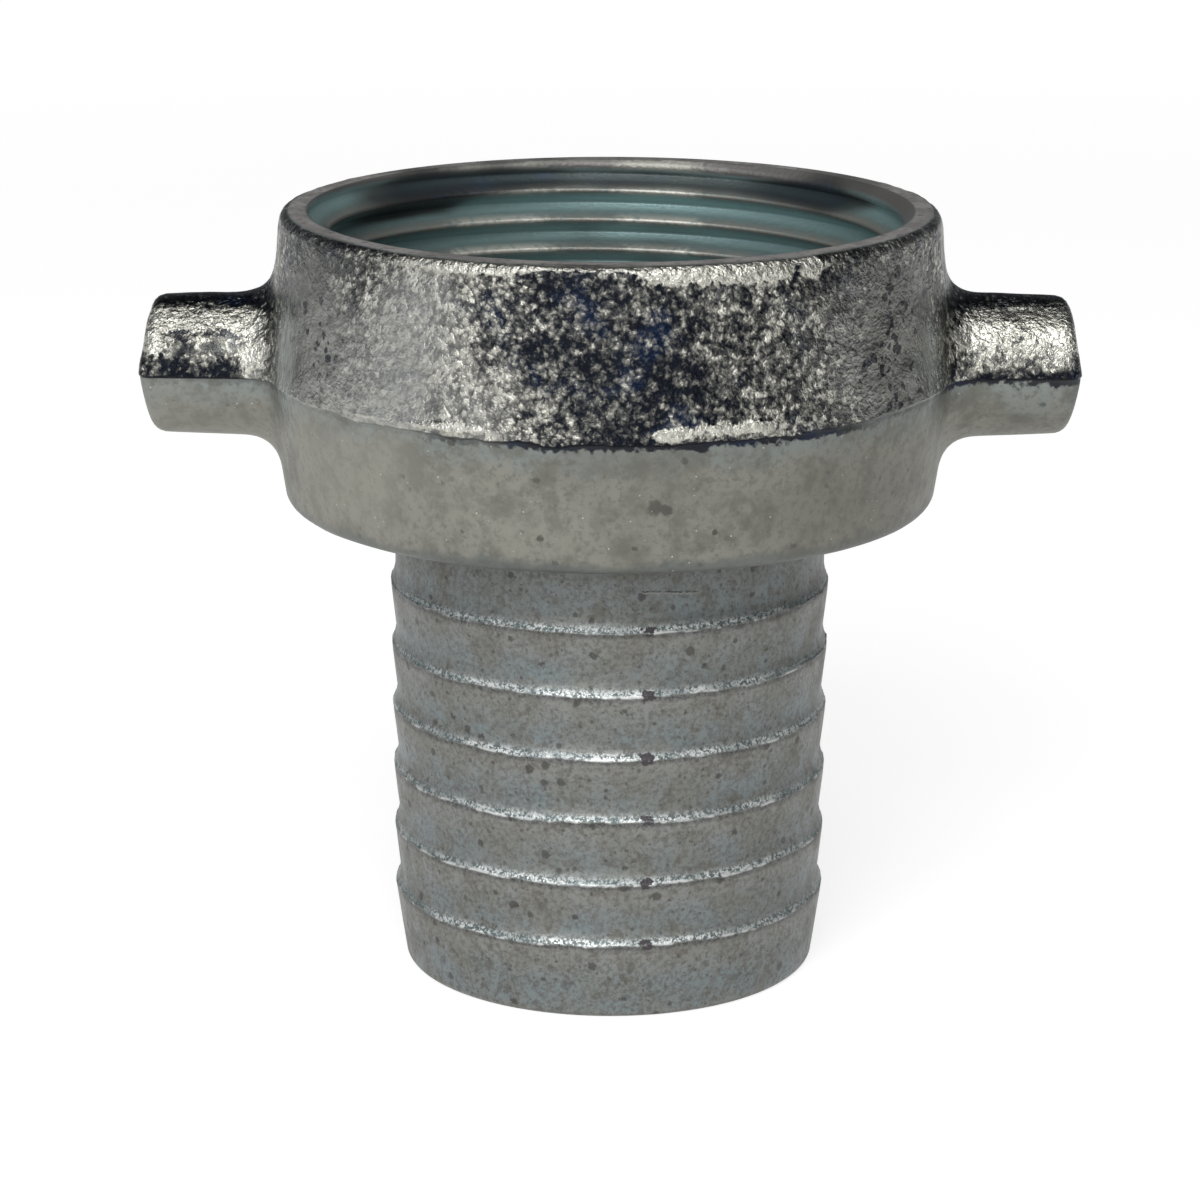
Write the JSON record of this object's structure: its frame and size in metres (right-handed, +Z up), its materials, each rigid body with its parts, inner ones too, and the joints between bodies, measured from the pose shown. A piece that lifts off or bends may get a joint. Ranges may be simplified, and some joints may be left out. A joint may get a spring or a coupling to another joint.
{
  "type": "female swivel hose coupling",
  "caption": "Female swivel coupling for hose: a cast pin-lug nut with a female pipe thread turns freely on a barbed hose shank and squeezes a flat washer to seal.",
  "frame": {"origin": "centre of the shank's lower end face, on the axis of the coupling, where it stands", "axes": "+Z up along the axis, from the barbed end to the threaded mouth; the two lugs lie along +X and -X"},
  "size_m": [0.0656, 0.0486, 0.0545],
  "materials": {
    "plated_nut": "rough casting under bright zinc plating: hammered and sparkling above the parting line, smooth and matte below it",
    "plated_shank": "casting under dull zinc plating with a bluish cast and fine dark specks",
    "black_rubber": "matte moulded rubber"
  },
  "bodies": {
    "shank": {"hose_shank": "plated_shank", "gasket": "black_rubber"},
    "nut": {"swivel_nut": "plated_nut"}
  },
  "joints": [
    {"name": "nut_swivel", "type": "hinge", "parent": "shank", "child": "nut", "pos_m": [0, 0, 0.036], "axis": [0, 0, 1], "continuous": true}
  ]
}
